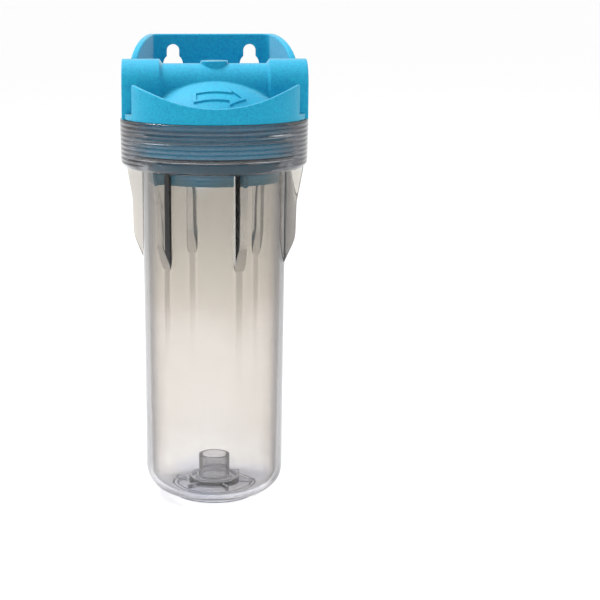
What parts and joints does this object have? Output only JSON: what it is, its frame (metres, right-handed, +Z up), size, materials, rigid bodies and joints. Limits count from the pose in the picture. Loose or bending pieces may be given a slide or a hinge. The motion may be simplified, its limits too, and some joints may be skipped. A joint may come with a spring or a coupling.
{
  "type": "cartridge filter housing",
  "caption": "Water filter housing with a blue wall-bracket head, cross ports, a screw-on clear bowl with fins under its collar, and a seal ring between them.",
  "frame": {"origin": "centre of the bottom of the foot ring, on the bowl's axis", "axes": "+Z up along the bowl's axis, +X the way the water flows from inlet to outlet, +Y towards the wall behind the bracket, so the front faces -Y"},
  "size_m": [0.13, 0.134, 0.324],
  "materials": {
    "head_plastic": "satin",
    "clear_plastic": "gloss",
    "seal_rubber": "satin"
  },
  "bodies": {
    "head": {"head": "head_plastic"},
    "o_ring": {"sump_o_ring": "seal_rubber"},
    "sump": {"sump": "clear_plastic"}
  },
  "joints": [
    {"name": "sump_lower", "type": "slide", "parent": "head", "child": "o_ring", "axis": [0, 0, -1], "range_m": [0, 0.0106]},
    {"name": "sump_turn", "type": "hinge", "parent": "o_ring", "child": "sump", "pos_m": [0, 0, 0.2445], "axis": [0, 0, -1], "range_deg": [0, 900]}
  ],
  "couplings": [
    {"joint": "sump_lower", "follows": "sump_turn", "m_per_rad": 0.00067376}
  ]
}
